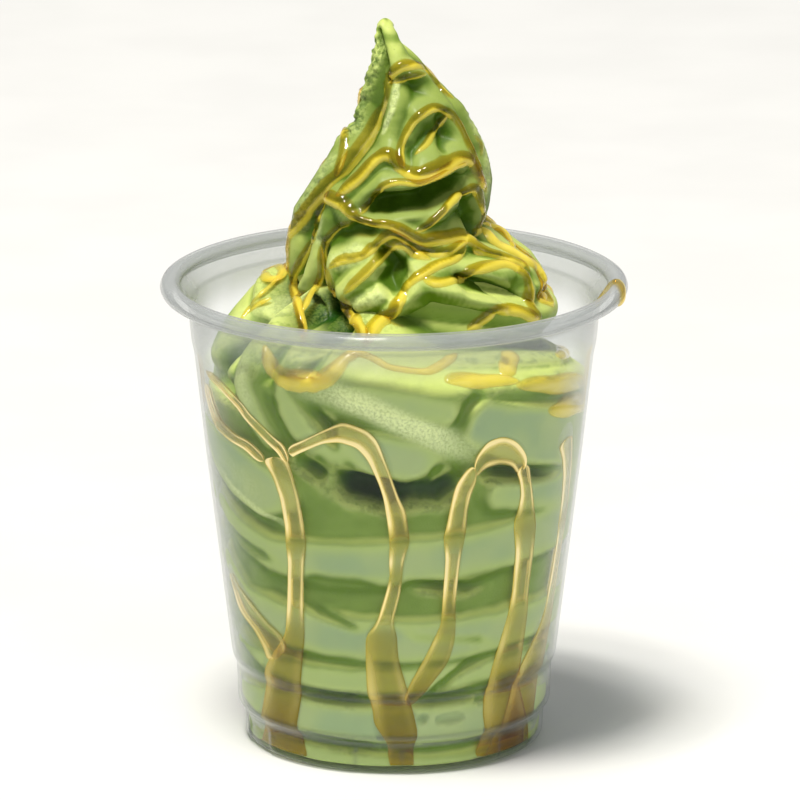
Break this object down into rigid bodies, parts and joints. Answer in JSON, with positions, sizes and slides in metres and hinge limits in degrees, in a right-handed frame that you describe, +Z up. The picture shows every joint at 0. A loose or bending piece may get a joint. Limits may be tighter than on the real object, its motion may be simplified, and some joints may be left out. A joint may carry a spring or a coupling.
{
  "type": "matcha soft serve in a clear plastic cup",
  "caption": "Clear tapered plastic cup filled with piped green soft serve that rises in a folded peak, with honey drizzled over it.",
  "frame": {"origin": "centre of the underside of the cup's foot", "axes": "+Z up along the cup's axis, -Y towards the side that the picture shows, +X to the right as seen from there"},
  "size_m": [0.098, 0.098, 0.155],
  "materials": {
    "clear_plastic": "thin clear thermoformed plastic, glossy",
    "matcha": "soft frozen matcha ice cream, satin, finely rough on its torn crests",
    "honey": "clear golden honey, wet and glossy"
  },
  "bodies": {
    "root": {"cup": "clear_plastic", "soft_serve": "matcha"}
  },
  "joints": []
}
